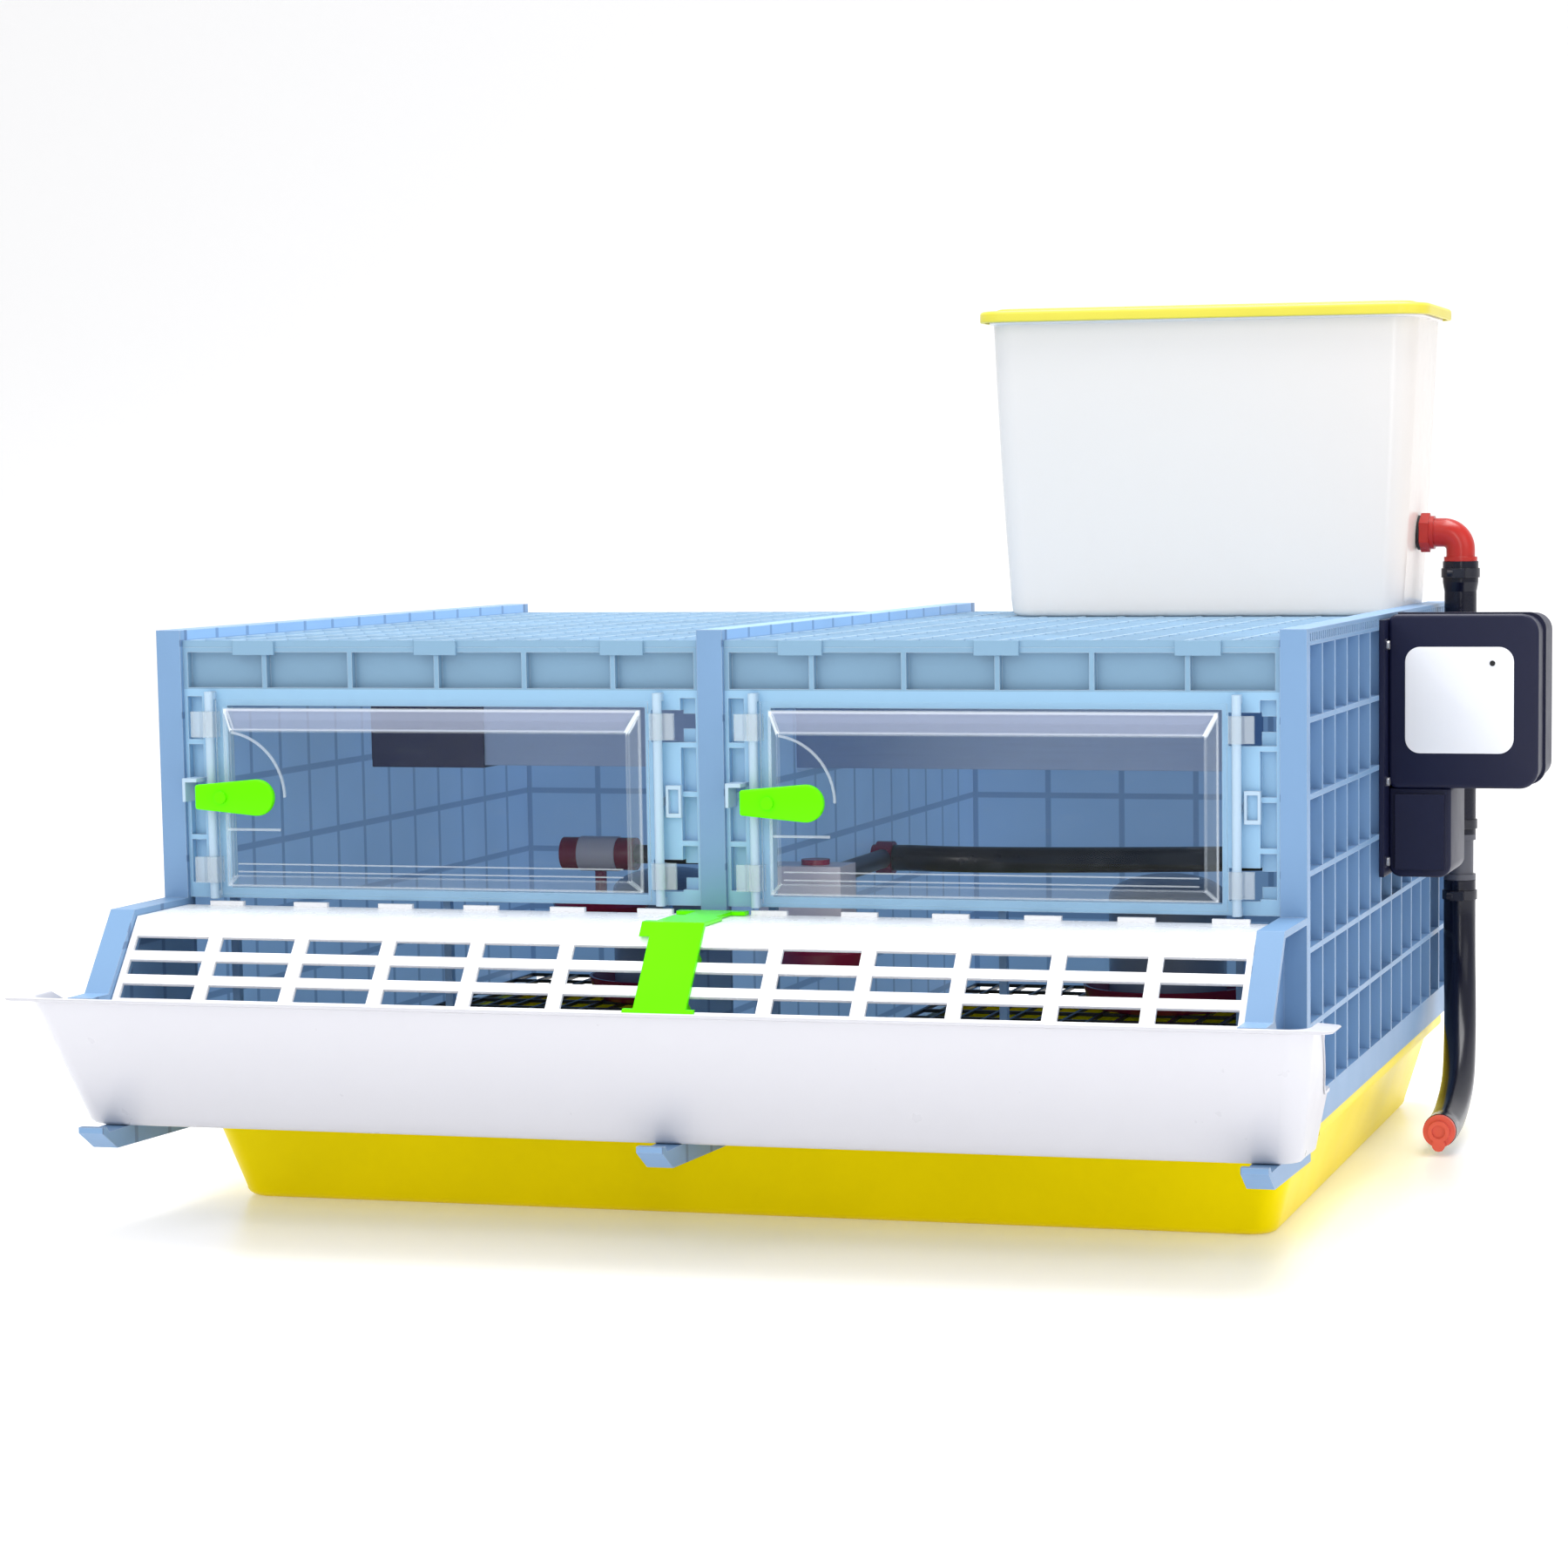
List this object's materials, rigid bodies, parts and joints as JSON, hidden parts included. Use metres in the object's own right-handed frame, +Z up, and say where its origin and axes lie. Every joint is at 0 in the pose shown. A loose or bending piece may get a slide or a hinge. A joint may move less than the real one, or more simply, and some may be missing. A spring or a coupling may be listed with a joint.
{
  "type": "chick brooder box",
  "caption": "Chick brooder cage with ribbed panels, clear doors, a slotted feeder over a long trough, a water tank with hoses and drinkers, a heater, a control box and a manure tray",
  "frame": {"origin": "on the floor, at the middle of the cage between its side panels", "axes": "+Z up, the doors and the trough face -Y, the control box is on +X"},
  "size_m": [1.072, 0.8955, 0.7111],
  "materials": {
    "yellow_tray": "smooth moulded, faint sheen",
    "pale_blue_panel": "satin moulded",
    "front_blue_panel": "satin moulded",
    "black_mesh": "satin moulded",
    "clear_door": "clear, glossy",
    "lime_plastic": "glossy moulded",
    "white_plastic": "satin moulded",
    "milky_tank": "milky translucent",
    "yellow_lid": "satin moulded",
    "red_plastic": "glossy moulded",
    "coral_plastic": "soft moulded",
    "maroon_plastic": "glossy moulded",
    "smoke_plastic": "smoky translucent",
    "grey_plastic": "satin moulded",
    "hose_rubber": "smooth, soft sheen",
    "black_rubber": "matte",
    "heater_metal": "satin paint",
    "steel_strap": "plain zinc sheen",
    "navy_plastic": "fine texture",
    "white_gloss": "glossy label plate, bare",
    "black_lens": "small dark lens"
  },
  "bodies": {
    "tray": {"manure_tray": "yellow_tray"},
    "cage": {"left_side_panel": "pale_blue_panel", "middle_partition": "pale_blue_panel", "right_side_panel": "pale_blue_panel", "left_rear_panel": "pale_blue_panel", "right_rear_panel": "pale_blue_panel", "left_top_deck": "pale_blue_panel", "right_top_deck": "pale_blue_panel", "left_front_panel": "front_blue_panel", "right_front_panel": "front_blue_panel", "left_floor_mesh": "black_mesh", "right_floor_mesh": "black_mesh", "water_tank": "milky_tank", "tank_seal": "black_rubber", "outlet_nut": "red_plastic", "tank_elbow": "red_plastic", "tee_collar": "red_plastic", "upper_hose": "hose_rubber", "inner_hose": "hose_rubber", "drain_hose": "hose_rubber", "water_tee": "grey_plastic", "wall_grommet": "black_rubber", "hose_connector": "maroon_plastic", "left_feed_pipe": "grey_plastic", "right_feed_pipe": "grey_plastic", "left_valve_barrel": "smoke_plastic", "right_valve_barrel": "smoke_plastic", "left_valve_caps": "maroon_plastic", "right_valve_caps": "maroon_plastic", "left_drinker_cup": "maroon_plastic", "right_drinker_cup": "maroon_plastic", "left_fount_tray": "maroon_plastic", "right_fount_tray": "maroon_plastic", "heater_casing": "heater_metal", "heater_end_box": "navy_plastic", "heater_hangers": "steel_strap", "control_plate": "navy_plastic", "control_case": "navy_plastic", "control_cover": "navy_plastic", "control_face": "white_gloss", "control_lamp": "black_lens", "terminal_housing": "navy_plastic", "terminal_lid": "navy_plastic", "control_screws": "steel_strap", "left_feed_posts": "pale_blue_panel", "right_feed_posts": "pale_blue_panel", "hose_clamps": "steel_strap"},
    "left_door_body": {"left_door": "clear_door", "left_lever_pin": "lime_plastic"},
    "right_door_body": {"right_door": "clear_door", "right_lever_pin": "lime_plastic"},
    "left_lever_body": {"left_latch_lever": "lime_plastic"},
    "right_lever_body": {"right_latch_lever": "lime_plastic"},
    "grille_body": {"feeder_grille": "white_plastic"},
    "clip_body": {"grille_clip": "lime_plastic"},
    "trough_body": {"feed_trough": "white_plastic"},
    "lid_body": {"tank_lid": "yellow_lid"},
    "left_jar_body": {"left_fount_jar": "smoke_plastic"},
    "right_jar_body": {"right_fount_jar": "smoke_plastic"},
    "plug_body": {"drain_plug": "coral_plastic"}
  },
  "joints": [
    {"name": "cage_lift", "type": "slide", "parent": "tray", "child": "cage", "axis": [0, 0, 1], "range_m": [0, 0.1]},
    {"name": "left_door_hinge", "type": "hinge", "parent": "cage", "child": "left_door_body", "pos_m": [-0.041, -0.3625, 0.32], "axis": [0, 0, 1], "range_deg": [0, 90]},
    {"name": "right_door_hinge", "type": "hinge", "parent": "cage", "child": "right_door_body", "pos_m": [0.399, -0.3625, 0.32], "axis": [0, 0, 1], "range_deg": [0, 90]},
    {"name": "left_lever_turn", "type": "hinge", "parent": "left_door_body", "child": "left_lever_body", "pos_m": [-0.39, -0.3768, 0.3232], "axis": [0, -1, 0], "range_deg": [0, 90]},
    {"name": "right_lever_turn", "type": "hinge", "parent": "right_door_body", "child": "right_lever_body", "pos_m": [0.05, -0.3768, 0.3232], "axis": [0, -1, 0], "range_deg": [0, 90]},
    {"name": "grille_lift", "type": "slide", "parent": "cage", "child": "grille_body", "axis": [0, -0.788, 0.6157], "range_m": [0, 0.4]},
    {"name": "clip_pull", "type": "slide", "parent": "grille_body", "child": "clip_body", "axis": [0, -0.788, 0.6157], "range_m": [0, 0.05]},
    {"name": "trough_draw", "type": "slide", "parent": "cage", "child": "trough_body", "axis": [0, -0.985, 0.1726], "range_m": [0, 0.16]},
    {"name": "lid_lift", "type": "slide", "parent": "cage", "child": "lid_body", "axis": [0, 0, 1], "range_m": [0, 0.12]},
    {"name": "left_jar_lift", "type": "slide", "parent": "cage", "child": "left_jar_body", "axis": [0, 0, 1], "range_m": [0, 0.08]},
    {"name": "right_jar_lift", "type": "slide", "parent": "cage", "child": "right_jar_body", "axis": [0, 0, 1], "range_m": [0, 0.02]},
    {"name": "drain_plug_pull", "type": "slide", "parent": "cage", "child": "plug_body", "axis": [0, -1, 0], "range_m": [0, 0.03]}
  ]
}
